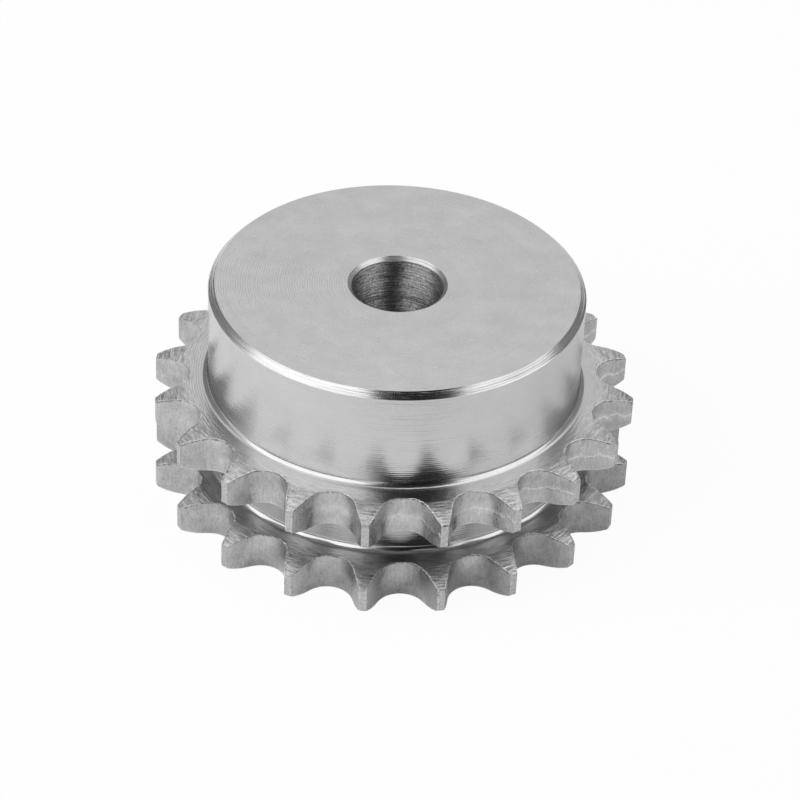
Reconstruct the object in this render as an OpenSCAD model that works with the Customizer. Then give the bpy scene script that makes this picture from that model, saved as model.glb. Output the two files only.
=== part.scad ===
// Chain sprocket for a two-strand roller chain, turned and toothed from one piece of steel:
// a plain hub, two toothed rings with a groove between them, and a pilot bore through the middle.

/* [Chain] */
// Pitch of the chain, from one roller to the next
chain_pitch = 12.7; // [12:0.1:16]
// Diameter of the chain's rollers
roller_d = 8.51; // [7.5:0.01:9.5]
// Depth of the chain's link plates
plate_h = 11.8; // [9:0.1:13]
// Distance between the middles of the chain's two strands
strand_pitch = 13.92; // [12:0.01:18]

/* [Teeth] */
// Number of teeth on each ring
teeth = 20; // [15:1:30]
// Width of each toothed ring
ring_w = 6.9; // [5:0.05:9]
// How much larger than a roller the seat between two teeth is, in radius
seat_clearance = 0.13; // [0.05:0.01:0.2]
// Angle of the arc over which a roller is seated
seat_angle = 127; // [116:1:135]
// Radius of the rounded tooth flanks
flank_r = 32.5; // [22:0.5:40]
// Height of the tooth tips above the pitch circle
tip_h = 2.15; // [1.6:0.05:2.5]
// Radius of the relief on both sides of each tooth
relief_r = 12.7; // [11:0.1:20]
// Width of flat ring face between the tooth roots and the relief
relief_start = 1.3; // [0.5:0.1:2]
// Radius between the relief and the tips
tip_round = 0.45; // [0.2:0.05:0.8]

/* [Hub] */
// Length of the sprocket over the hub and both rings
length = 40; // [30:1:60]
// Clearance between the chain's link plates and the hub, and the core between the rings
plate_gap = 1.19; // [0.5:0.01:6]
// Chamfer round the hub's end face
hub_chamfer = 1.1; // [0.5:0.1:2]
// Fillet where the hub meets its ring
hub_fillet = 1.2; // [0.5:0.1:1.6]
// Fillets in the groove between the rings
groove_fillet = 1.2; // [0.5:0.1:1.6]

/* [Bore] */
// Diameter of the pilot bore
bore_d = 16; // [10:1:30]
// Chamfer at both ends of the bore
bore_chamfer = 0.75; // [0.25:0.05:1.5]

/* [Hidden] */
$fn = 96;
past = 1;      // how far a cutter runs past what it cuts
cross = 0.001; // how far arcs that run on into each other cross, so that they meet in a point

// The chain's rollers sit on the pitch circle, and its plates pass over the hub
pitch_r = chain_pitch / 2 / sin(180 / teeth);
body_r = pitch_r * cos(180 / teeth) - plate_h / 2 - plate_gap;
tip_r = pitch_r + tip_h;
bore_r = bore_d / 2;

// A tooth gap is a seat that holds the roller, with a rounded flank that runs on from it on each
// side. The flanks' centres lie this far inwards and sideways from the roller's.
seat_r = roller_d / 2 + seat_clearance;
flank_reach = seat_r + flank_r - cross;
flank_x = flank_reach * cos(seat_angle / 2);
flank_y = flank_reach * sin(seat_angle / 2);
root_r = pitch_r - seat_r;

// Heights from the lower ring's outer face, where the sprocket stands
upper_z = strand_pitch;
stack_h = strand_pitch + ring_w;
relief_in = root_r + relief_start;

// The centre of the round at the tips, and the direction in which it meets the relief
round_x = tip_r - tip_round + cross;
round_reach = relief_r - tip_round + cross;
round_rise = sqrt(pow(round_reach, 2) - pow(round_x - relief_in, 2));
round_z = ring_w - relief_r + round_rise;
relief_normal = [round_x - relief_in, round_rise] / round_reach;

// What a fillet adds in the corner at the origin, between a wall along y and a floor along x
module corner_fillet(r) {
    difference() {
        square(r);
        translate([r, r]) circle(r);
    }
}

// What rounds off the corner between the relief and the tips, on the ring's upper side
module tip_corner() {
    difference() {
        polygon([[round_x, round_z], [round_x, round_z] + (tip_round + past) * relief_normal,
            [tip_r + past, ring_w + past], [tip_r + past, round_z]]);
        translate([round_x, round_z]) circle(tip_round);
    }
}

// Half section of one toothed ring, from the axis to the tips
module ring_profile() {
    square([relief_in, ring_w]);
    difference() {
        intersection() {
            translate([relief_in, relief_r]) circle(relief_r, $fn = 240);
            translate([relief_in, ring_w - relief_r]) circle(relief_r, $fn = 240);
            square([tip_r, ring_w]);
        }
        tip_corner();
        translate([0, ring_w]) mirror([0, 1]) tip_corner();
    }
}

// Half section of the turned blank, before the teeth are cut
module blank_profile() {
    difference() {
        union() {
            ring_profile();
            translate([0, upper_z]) ring_profile();
            polygon([[0, 0], [body_r, 0], [body_r, length - hub_chamfer],
                [body_r - hub_chamfer, length], [0, length]]);
            translate([body_r, stack_h]) corner_fillet(hub_fillet);
            translate([body_r, ring_w]) corner_fillet(groove_fillet);
            translate([body_r, upper_z]) mirror([0, 1]) corner_fillet(groove_fillet);
        }
        translate([0, -past]) square([bore_r, length + 2 * past]);
        polygon([[0, 0], [bore_r + bore_chamfer, 0], [bore_r, bore_chamfer], [0, bore_chamfer]]);
        polygon([[0, length], [bore_r + bore_chamfer, length], [bore_r, length - bore_chamfer],
            [0, length - bore_chamfer]]);
    }
}

// Outline of one tooth gap, with the roller's seat on the x axis
module gap_outline() {
    translate([pitch_r, 0]) {
        circle(seat_r);
        difference() {
            polygon([[0, 0], [-flank_x, flank_y], [tip_h + past, flank_y],
                [tip_h + past, -flank_y], [-flank_x, -flank_y]]);
            translate([-flank_x, flank_y]) circle(flank_r, $fn = 360);
            translate([-flank_x, -flank_y]) circle(flank_r, $fn = 360);
        }
    }
}

module duplex_sprocket() {
    color([0.72, 0.72, 0.73])
    difference() {
        rotate_extrude($fn = 240) blank_profile();
        for (i = [0 : teeth - 1])
            rotate(i * 360 / teeth)
            translate([0, 0, -past])
            linear_extrude(stack_h + 2 * past)
            gap_outline();
    }
}

duplex_sprocket();
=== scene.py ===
# Chain sprocket for a two-strand chain: the finish of its steel, with the light and the camera.
# The sprocket's sizes are in millimetres, and places in the scene are in metres.
import math
from types import SimpleNamespace

import bmesh
import bpy
from mathutils import Matrix, Vector

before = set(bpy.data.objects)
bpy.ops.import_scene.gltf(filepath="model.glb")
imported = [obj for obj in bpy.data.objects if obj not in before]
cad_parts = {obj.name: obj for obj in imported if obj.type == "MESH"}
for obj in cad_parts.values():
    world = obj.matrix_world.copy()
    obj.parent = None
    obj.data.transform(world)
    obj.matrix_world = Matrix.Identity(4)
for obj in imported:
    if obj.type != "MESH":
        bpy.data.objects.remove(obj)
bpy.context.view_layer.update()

MM = 0.001

# The sprocket's sizes, in millimetres
TEETH = 20
CHAIN_PITCH = 12.7
PITCH_R = CHAIN_PITCH / 2 / math.sin(math.pi / TEETH)
SEAT_R = 4.385
SEAT_ANGLE = math.radians(127)
FLANK_R = 32.5
TIP_R = PITCH_R + 2.15
HUB_R = 33.0
FILLET_R = 1.2
RING_W = 6.9
UPPER_Z = 13.92
BORE_R = 8.0
RELIEF_R = 12.7
ROOT_R = PITCH_R - SEAT_R
RELIEF_IN = ROOT_R + 1.3
STACK_H = UPPER_Z + RING_W
GROOVE_Z = (RING_W + UPPER_Z) / 2

# How far the tools moved on for each turn: on the faces and walls, on the chamfers and in the bore
FEED = 0.43
SLOPE_FEED = 0.3
BORE_FEED = 0.62

# The steel where it has no marks, and how dark and how light the marks may make it
PLAIN_TONE = 0.60
PLAIN_ROUGHNESS = 0.19
DARKEST = 0.05
LIGHTEST = 0.95

# The camera, as fitted to the photo. Angles round the sprocket's axis are counted from the
# camera's side, and grow to the right in the picture.
CAMERA_TURN = math.radians(-4.29)
CAMERA_RISE = math.radians(36.2)
CAMERA_ROLL = math.radians(2.58)
CAMERA_DISTANCE = 0.5593
LENS_MM = 140.63
AIM = Vector((1.306 * MM, 0, 14.892 * MM))
MIDDLE = Vector((0, 0, 20 * MM))


class Wire:
    """A value in a material. Sums and products of wires add Math nodes."""

    def __init__(self, finish, socket):
        self.finish = finish
        self.socket = socket

    def __add__(self, other):
        return self.finish.math("ADD", self, other)

    def __sub__(self, other):
        return self.finish.math("SUBTRACT", self, other)

    def __rsub__(self, other):
        return self.finish.math("SUBTRACT", other, self)

    def __mul__(self, other):
        return self.finish.math("MULTIPLY", self, other)

    def __truediv__(self, other):
        return self.finish.math("DIVIDE", self, other)

    def __abs__(self):
        return self.finish.math("ABSOLUTE", self)

    __radd__ = __add__
    __rmul__ = __mul__


class Finish:
    """The nodes of a material or of the world."""

    def __init__(self, owner):
        owner.use_nodes = True
        self.owner = owner
        self.tree = owner.node_tree
        self.tree.nodes.clear()

    def node(self, kind, settings, values):
        made = self.tree.nodes.new(kind)
        for name, setting in settings.items():
            setattr(made, name, setting)
        for name, value in values.items():
            if isinstance(value, Wire):
                self.tree.links.new(value.socket, made.inputs[name])
            else:
                made.inputs[name].default_value = value
        return made

    def wire(self, kind, settings, values, output=0):
        return Wire(self, self.node(kind, settings, values).outputs[output])

    def math(self, operation, *values):
        return self.wire("ShaderNodeMath", {"operation": operation}, dict(enumerate(values)))

    def rise(self, value, low, high):
        """0 below low and 1 above high, with a smooth rise between them."""
        ends = {"Value": value, "From Min": low, "From Max": high}
        return self.wire("ShaderNodeMapRange", {"interpolation_type": "SMOOTHSTEP"}, ends)

    def noise(self, vector, detail=2.0, rough=0.5):
        """Noise round 0, from about -0.5 to 0.5."""
        values = {"Vector": vector, "Scale": 1.0, "Detail": detail, "Roughness": rough}
        return self.wire("ShaderNodeTexNoise", {}, values) - 0.5


def around(azimuth, rise, distance):
    """A place that far from the origin, in degrees round from the camera's side and up."""
    turn = math.radians(azimuth) + CAMERA_TURN
    lift = math.radians(rise)
    level = math.cos(lift)
    return distance * Vector((math.sin(turn) * level, -math.cos(turn) * level, math.sin(lift)))


def facing(place, aim):
    return (aim - place).to_track_quat("-Z", "Y").to_matrix().to_4x4()


def set_camera():
    aim = Matrix.Rotation(CAMERA_TURN, 3, "Z") @ AIM
    place = aim + around(0, math.degrees(CAMERA_RISE), CAMERA_DISTANCE)
    data = bpy.data.cameras.new("camera")
    data.lens = LENS_MM
    data.sensor_width = 36.0
    data.clip_start = 0.05
    data.clip_end = 20.0
    camera = bpy.data.objects.new("camera", data)
    roll = Matrix.Rotation(CAMERA_ROLL, 4, "Z")
    camera.matrix_world = Matrix.Translation(place) @ facing(place, aim) @ roll
    bpy.context.scene.collection.objects.link(camera)
    bpy.context.scene.camera = camera


def shown(finish, to_camera, in_gloss):
    """How much of its plain white a surface shows to the camera, and in a gloss or through glass."""
    path = finish.node("ShaderNodeLightPath", {}, {})
    names = ("Is Camera Ray", "Is Glossy Ray", "Is Transmission Ray")
    camera, glossy, clear = (Wire(finish, path.outputs[name]) for name in names)
    return finish.math("MINIMUM", camera * to_camera + (glossy + clear) * in_gloss, 1.0)


def set_world(ambient, in_gloss):
    world = bpy.data.worlds.new("white_room")
    finish = Finish(world)
    white = finish.wire("ShaderNodeBackground", {}, {"Color": (1, 1, 1, 1), "Strength": 1.0})
    lighting = finish.wire("ShaderNodeBackground", {}, {"Color": (1, 1, 1, 1), "Strength": ambient})
    mix = finish.wire("ShaderNodeMixShader", {}, {0: shown(finish, 1, in_gloss), 1: lighting, 2: white})
    finish.node("ShaderNodeOutputWorld", {}, {"Surface": mix})
    bpy.context.scene.world = world


def soft_light(name, azimuth, rise, distance, width, height, radiance, in_gloss=True):
    """A flat soft box that faces the sprocket. Its light adds to the white room's behind it."""
    data = bpy.data.lights.new(name, "AREA")
    data.shape = "RECTANGLE"
    data.size = width
    data.size_y = height
    data.energy = radiance * math.pi * width * height
    light = bpy.data.objects.new(name, data)
    place = around(azimuth, rise, distance)
    light.matrix_world = Matrix.Translation(place) @ facing(place, MIDDLE)
    light.visible_camera = False
    light.visible_glossy = in_gloss
    bpy.context.scene.collection.objects.link(light)


def flat_piece(name, width, height, material):
    shape = bmesh.new()
    bmesh.ops.create_grid(shape, x_segments=1, y_segments=1, size=0.5)
    bmesh.ops.scale(shape, vec=(width, height, 1), verts=shape.verts)
    mesh = bpy.data.meshes.new(name)
    shape.to_mesh(mesh)
    shape.free()
    mesh.materials.append(material)
    piece = bpy.data.objects.new(name, mesh)
    bpy.context.scene.collection.objects.link(piece)
    return piece


def floor_paint(to_camera, in_gloss):
    finish = Finish(bpy.data.materials.new("white_floor"))
    matt = finish.wire("ShaderNodeBsdfDiffuse", {}, {"Color": (0.9, 0.9, 0.9, 1)})
    white = finish.wire("ShaderNodeEmission", {}, {"Color": (1, 1, 1, 1), "Strength": 1.0})
    show = shown(finish, to_camera, in_gloss)
    mix = finish.wire("ShaderNodeMixShader", {}, {0: show, 1: matt, 2: white})
    finish.node("ShaderNodeOutputMaterial", {}, {"Surface": mix})
    return finish.owner


def card_paint(name, grey):
    finish = Finish(bpy.data.materials.new(name))
    matt = finish.wire("ShaderNodeBsdfDiffuse", {}, {"Color": (grey, grey, grey, 1)})
    finish.node("ShaderNodeOutputMaterial", {}, {"Surface": matt})
    return finish.owner


def card(name, azimuth, rise, distance, width, height, grey, aim=MIDDLE):
    """A dark card beside the set, which only gives the steel something dark to reflect."""
    piece = flat_piece(name, width, height, card_paint(name + "_paint", grey))
    place = around(azimuth, rise, distance)
    piece.matrix_world = Matrix.Translation(place) @ facing(place, aim)
    piece.visible_camera = False


def set_stage():
    """The floor, the room, and the lights and cards, each with its angles, distance and size."""
    floor = flat_piece("floor", 6.0, 6.0, floor_paint(0.95, 0.1))
    floor.location.z = -0.05 * MM
    set_world(0.4, 0.73)
    soft_light("left_light", -52, 40, 0.8, 1.05, 0.75, 0.78)
    soft_light("right_light", 74, 38, 0.8, 0.75, 0.7, 0.56)
    soft_light("top_light", 165, 72, 0.9, 0.9, 0.7, 0.6)
    soft_light("left_fill", -70, 35, 0.8, 0.8, 0.8, 2.0, False)
    card("front_card", 15, 35, 0.24, 0.165, 0.44, 0.01)
    card("front_mat", 15, 1, 0.20, 0.17, 0.17, 0.03, Vector((0, 0, 10)))
    card("left_low_card", -52, 6, 0.78, 1.0, 0.2, 0.2)
    card("right_low_card", 74, 6, 0.78, 0.9, 0.2, 0.2)
    card("left_card", -128, 20, 0.8, 0.68, 0.64, 0.32)
    card("right_card", 129, 20, 0.8, 0.66, 0.64, 0.38)


class Spot:
    """Where a point of the sprocket lies, in millimetres, as wires of a finish."""

    def __init__(self, finish):
        self.finish = finish
        here = finish.node("ShaderNodeTexCoord", {}, {})
        scale = {0: Wire(finish, here.outputs["Object"]), "Scale": 1 / MM}
        self.place = finish.wire("ShaderNodeVectorMath", {"operation": "SCALE"}, scale)
        axes = finish.node("ShaderNodeSeparateXYZ", {}, {0: self.place})
        self.x, self.y, self.z = (Wire(finish, output) for output in axes.outputs)
        self.r = finish.math("SQRT", self.x * self.x + self.y * self.y)
        self.round_x = self.x / self.r
        self.round_y = self.y / self.r
        self.angle = finish.math("ARCTAN2", self.y, self.x)
        self.height = self.ring_height()
        self.normal = self.rounded(Wire(finish, here.outputs["Normal"]))
        axes = finish.node("ShaderNodeSeparateXYZ", {}, {0: self.normal})
        self.level = abs(Wire(finish, axes.outputs["Z"]))

    def vector(self, x, y, z):
        return self.finish.wire("ShaderNodeCombineXYZ", {}, {0: x, 1: y, 2: z})

    def turned(self, across, pitch, radius, length, detail=2.0):
        """Lathe marks: fine across the cut, and drawn out along the turn."""
        stretch = radius / length
        marks = self.vector(self.round_x * stretch, self.round_y * stretch, across / pitch)
        return self.finish.noise(marks, detail)

    def blotches(self, size, detail=2.0):
        scale = {0: self.place, "Scale": 1 / size}
        place = self.finish.wire("ShaderNodeVectorMath", {"operation": "SCALE"}, scale)
        return self.finish.noise(place, detail)

    def gap_depth(self):
        """How deep a point lies in the steel beside the nearest tooth gap."""
        finish = self.finish
        step = 2 * math.pi / TEETH
        turn = finish.math("PINGPONG", self.angle + 4 * math.pi, step / 2)
        along = self.r * finish.math("COSINE", turn) - PITCH_R
        aside = self.r * finish.math("SINE", turn)
        reach = SEAT_R + FLANK_R
        flank_x = reach * math.cos(SEAT_ANGLE / 2)
        flank_y = reach * math.sin(SEAT_ANGLE / 2)
        to_seat = finish.math("SQRT", along * along + aside * aside) - SEAT_R
        back = along + flank_x
        over = aside - flank_y
        to_flank = FLANK_R - finish.math("SQRT", back * back + over * over)
        beside = along * math.sin(SEAT_ANGLE / 2) + aside * math.cos(SEAT_ANGLE / 2)
        on_flank = finish.rise(beside, -0.02, 0.02)
        return to_seat + on_flank * (to_flank - to_seat)

    def ring_height(self):
        """How high a point lies in its own ring, from the ring's middle."""
        upper = self.finish.rise(self.z, GROOVE_Z, GROOVE_Z + 0.1)
        return self.z - upper * UPPER_Z - RING_W / 2

    def rounded(self, normal):
        """The normal, and in the fillets the direction from the point to the fillet's middle."""
        finish = self.finish
        out = HUB_R + FILLET_R - self.r
        up = FILLET_R + RING_W / 2 - abs(self.height)
        side = finish.math("SIGN", self.height)
        across = self.vector(self.round_x * out, self.round_y * out, up * side)
        true = finish.wire("ShaderNodeVectorMath", {"operation": "NORMALIZE"}, {0: across})
        in_fillet = finish.rise(self.r, HUB_R - 0.1, HUB_R - 0.05)
        in_fillet = in_fillet * finish.rise(self.z, RING_W - 0.1, RING_W)
        in_fillet = in_fillet * finish.rise(abs(self.height), RING_W / 2 - 0.02, RING_W / 2)
        in_fillet = in_fillet * finish.rise(out, 0.0, 0.02) * finish.rise(up, 0.0, 0.02)
        choice = {0: in_fillet, 4: normal, 5: true}
        return finish.wire("ShaderNodeMix", {"data_type": "VECTOR"}, choice, 1)

    def half_width(self):
        """Half the width of a tooth at a point's radius, which the side relief narrows."""
        out = self.finish.math("MAXIMUM", self.r - RELIEF_IN, 0.0)
        drop = RELIEF_R - self.finish.math("SQRT", RELIEF_R * RELIEF_R - out * out)
        return RING_W / 2 - drop


def find_surfaces(spot):
    """Where each kind of surface is, as wires that are 1 there and 0 elsewhere."""
    rise = spot.finish.rise
    upright = 1 - rise(spot.level, 0.03, 0.10)
    flat = rise(spot.level, 0.96, 0.99)
    bore = 1 - rise(spot.r, BORE_R + 0.02, BORE_R + 0.1)
    toothed = rise(spot.r, ROOT_R - 0.06, ROOT_R - 0.02)
    at_tip = rise(spot.r, TIP_R - 0.04, TIP_R - 0.01)
    side = toothed * (1 - upright)
    relief = side * rise(spot.r, RELIEF_IN - 0.5, RELIEF_IN + 0.3)
    turned = (1 - bore) * (1 - toothed * upright) * (1 - relief)

    # Every ring face but the one that the sprocket stands on, and its part outside the fillets
    face = turned * flat
    at_hub = rise(spot.z, STACK_H + 1, STACK_H + 2)
    ring_face = face * (1 - at_hub)
    raised_face = ring_face * rise(spot.z, 0.2, 0.4)

    sloping = turned * (1 - upright) * (1 - flat)
    chamfer = sloping * rise(spot.z, STACK_H + 2, STACK_H + 3)
    return SimpleNamespace(
        bore=bore,
        gap=toothed * upright * (1 - at_tip),
        land=upright * at_tip,
        side=side,
        relief=relief,
        turned=turned,
        wall=turned * upright,
        face=face,
        hub_face=face * at_hub,
        ring_face=ring_face,
        raised_face=raised_face,
        coarse_face=raised_face * rise(spot.r, HUB_R + FILLET_R, ROOT_R - 0.2),
        chamfer=chamfer,
        bore_mouth=chamfer * (1 - rise(spot.r, BORE_R + 1.5, BORE_R + 2)),
        fillet=sloping - chamfer,
        below=1 - rise(spot.z, UPPER_Z - 0.1, UPPER_Z + 0.1),
    )


def waves(value, length):
    """Rounded ridges, one for each length of the value."""
    return value.finish.math("SINE", value * (2 * math.pi / length))


def make_marks(spot):
    """The lathe's and the cutter's marks, and what handling leaves, as noise and waves round 0."""
    finish = spot.finish
    mottle = spot.blotches(1.6, 3.0)
    nicks = spot.blotches(0.8, 2.0)

    # Lathe marks run round every turned surface, fine on the faces and walls, and coarse
    # on the chamfers, the fillets, the sides of the teeth and in the bore
    fine_face = spot.turned(spot.r, 0.16, 22, 12)
    broad_wall = spot.turned(spot.z, 0.8, HUB_R, 30, 3.0)
    slope = spot.turned(spot.r, 0.28, HUB_R, 12, 3.0)
    in_bore = spot.turned(spot.z, 0.25, BORE_R, 6, 3.0)
    wander = spot.turned(spot.z, 2.0, BORE_R, 8)

    # The bore's feed marks are steps that lean up. The hub face's feed rings are painted lighter and
    # darker on one side only, a painted sheen where they catch the light.
    step_place = spot.z + wander * 0.6 + in_bore * 0.3
    ring_place = spot.r + fine_face * 0.15 + mottle * 0.3 + nicks * 0.35
    return SimpleNamespace(
        grain=spot.blotches(0.25, 2.0),
        speckle=spot.blotches(0.38, 4.0),
        nicks=nicks,
        mottle=mottle,
        cloud=spot.blotches(5.0, 4.0),
        hobbed=finish.noise(spot.vector(spot.x / 0.22, spot.y / 0.22, spot.z / 1.4), 3.0),
        jagged=finish.noise(spot.vector(spot.x / 2.0, spot.y / 2.0, 0.0), 3.0),
        fine_face=fine_face,
        fine_wall=spot.turned(spot.z, 0.14, HUB_R, 20),
        rough=spot.turned(spot.r, 0.36, TIP_R, 2.2, 4.0),
        slope=slope,
        bore=in_bore,
        wall_feed=waves(spot.z + broad_wall * 0.2, FEED),
        face_feed=waves(ring_place, FEED),
        slope_feed=waves(spot.r + slope * 0.15, SLOPE_FEED),
        bore_steps=finish.math("FRACT", step_place / BORE_FEED),
        ring_sheen_side=finish.rise(0 - spot.round_x, 0.82, 0.98) * (0.5 + mottle * 2),
    )


def make_edges(spot, on, marks):
    """The pale lines in the gaps, the burr round their edges with its painted highlight, and the
    painted shadow below the upper edges.
    """
    rise = spot.finish.rise
    speckle = marks.speckle
    nicks = marks.nicks

    # A jagged pale line across the upper ring's gaps, with a broader pale band round it, both mostly
    # towards +x
    off_line = abs(spot.height + 0.1 - marks.jagged * 2.6 - speckle * 0.3)
    in_upper = on.gap * rise(spot.z, UPPER_Z, UPPER_Z + 0.2)
    pale_line = in_upper * (1 - rise(off_line, 0.05, 0.45)) * (0.9 + nicks * 1.5)
    pale_line = pale_line * rise(spot.round_x + nicks * 2, -0.3, 0.6)
    pale_band = in_upper * (1 - rise(off_line, 0.1, 1.1)) * rise(spot.round_x + nicks, -0.8, 0)

    # A broken dark line below each upper edge is a painted shadow of the burr. The burr round the edge
    # is bumped and painted lighter, a painted highlight, mostly on one side of each gap.
    patchy = 0.5 + rise(marks.mottle + marks.cloud, -0.1, 0.12) * 0.5
    above = rise(spot.height, 0.5, 1.0)
    from_side = spot.half_width() - abs(spot.height)
    at_side = on.gap * (1 - rise(from_side + speckle * 0.7 + nicks * 0.7, 0.02, 0.3))
    lit_gap_side = rise(spot.finish.math("SINE", spot.angle * TEETH), -0.4, 0.5)
    near_gap = 1 - rise(spot.gap_depth() + speckle * 0.6 + nicks * 0.6, 0.04, 0.3)
    return SimpleNamespace(
        pale_line=pale_line,
        pale_band=pale_band,
        burr_shadow=at_side * above * patchy,
        low_burr=at_side * (1 - above),
        burr_highlight=(on.side + on.land * 0.4) * near_gap * (0.35 + lit_gap_side * 0.65),
    )


def bump_height(on, marks, edges):
    """How far the marks stand out, in millimetres."""
    height = on.wall * (marks.fine_wall * 0.026 + marks.wall_feed * 0.0035)
    height = height + on.hub_face * (marks.fine_face * 0.014 + marks.face_feed * 0.002)
    height = height + on.ring_face * marks.fine_face * 0.026
    height = height + on.coarse_face * marks.rough * 0.06
    height = height + on.chamfer * (marks.slope * 0.09 + marks.slope_feed * 0.003)
    height = height + on.fillet * marks.slope * 0.03
    height = height + on.relief * (marks.rough * 0.18 + marks.speckle * 0.02)
    height = height + on.bore * (marks.bore * 0.36 - marks.bore_steps * 0.48)
    height = height + on.gap * (marks.hobbed * 0.02 + marks.mottle * 0.03)
    height = height + on.land * marks.speckle * 0.10
    return height + edges.pale_line * 0.05 - edges.burr_highlight * 0.16


def grey_tone(spot, on, marks, edges):
    """How light the steel is, from 0 to 1."""
    finish = spot.finish
    rise = finish.rise
    cloud = marks.cloud
    grain = marks.grain
    mottle = marks.mottle
    speckle = marks.speckle
    tone = PLAIN_TONE + cloud * 0.08 + grain * 0.10 + speckle * 0.06

    # The faces, walls, chamfers and fillets
    # The walls are painted lighter, partly a brighter finish and partly a painted reflection. The core
    # between the rings is painted darker, a painted shade between them.
    tone = tone + on.wall * (0.06 - on.below * 0.16 + marks.fine_wall * 0.06 + marks.wall_feed * 0.018)
    smudges = cloud * 0.08 + mottle * speckle * 2 - rise(marks.nicks, 0.2, 0.3) * 0.04
    tone = tone + on.hub_face * (smudges - 0.05)
    # The feed rings get a painted sheen on the -x side of the faces only.
    rings_and_sheen = marks.face_feed * (0.003 + marks.ring_sheen_side * 0.11)
    tone = tone + on.face * (marks.fine_face * 0.08 + rings_and_sheen)
    # The lower ring's faces, under the upper ring, get a further painted shade.
    tone = tone - on.raised_face * (0.06 + on.below * 0.1)
    tone = tone + on.coarse_face * marks.rough * (0.35 + on.below * 0.35)
    tone = tone + on.chamfer * (marks.slope * 0.5 + marks.slope_feed * 0.04)
    # The chamfer's feed lines are painted dark on the +x side only: partly the real feed lines, partly
    # painted shade where they cross the chamfer's highlight.
    feed_line_shade = rise(marks.slope_feed, 0.6, 0.95) * rise(spot.round_x + mottle, 0.0, 0.4)
    tone = tone - on.chamfer * feed_line_shade * 0.3
    tone = tone + on.fillet * marks.slope * 0.2

    # The teeth and the bore
    tone = tone + on.relief * (marks.rough * 0.9 + speckle * 0.3 + grain * 0.4 - 0.12)
    tone = tone - on.gap * (0.06 - marks.hobbed * 0.32 - mottle * 0.2 - cloud * 0.4 - speckle * 0.2)
    tone = tone + on.land * (speckle * 0.6 - 0.02)
    # The bore is painted far darker than the other steel, a painted shade inside the hole.
    tone = tone + on.bore * (marks.bore * 0.3 + marks.bore_steps * 0.06 + speckle * 0.4 - 0.43)
    tone = tone + edges.pale_line * 0.17 + edges.pale_band * 0.05
    # The burr is painted lighter as a painted highlight, and a painted shadow darkens the line below
    # each upper edge.
    tone = tone + edges.burr_highlight * (0.4 + speckle * 2.0 + marks.nicks * 0.8)
    tone = tone + edges.low_burr * 0.1 - edges.burr_shadow * 0.4
    return finish.math("MINIMUM", finish.math("MAXIMUM", tone, DARKEST), LIGHTEST)


def roughness(on, marks):
    rough = PLAIN_ROUGHNESS + on.hub_face * 0.13 + on.turned * marks.fine_wall * 0.03
    rough = rough + on.relief * 0.13 + on.gap * (0.09 + marks.mottle * 0.2) + on.land * 0.15
    return rough + on.bore * 0.1 + on.bore_mouth * 0.12


def machined_steel():
    finish = Finish(bpy.data.materials.new("machined_steel_finish"))
    spot = Spot(finish)
    on = find_surfaces(spot)
    marks = make_marks(spot)
    edges = make_edges(spot, on, marks)

    tone = grey_tone(spot, on, marks, edges)
    colour = finish.wire("ShaderNodeCombineColor", {}, {0: tone, 1: tone, 2: tone})
    height = bump_height(on, marks, edges)
    bumps = {"Height": height, "Distance": MM, "Strength": 1.0, "Normal": spot.normal}
    uneven = finish.wire("ShaderNodeBump", {}, bumps)
    steel = finish.wire("ShaderNodeBsdfPrincipled", {}, {
        "Base Color": colour,
        "Metallic": 1.0,
        "Roughness": roughness(on, marks),
        "Normal": uneven,
    })
    finish.node("ShaderNodeOutputMaterial", {}, {"Surface": steel})
    return finish.owner


def dress_sprocket():
    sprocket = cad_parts["duplex_sprocket"]
    material = machined_steel()
    for slot in sprocket.material_slots:
        slot.material = material


set_camera()
set_stage()
dress_sprocket()

bpy.context.scene.view_settings.view_transform = "Standard"
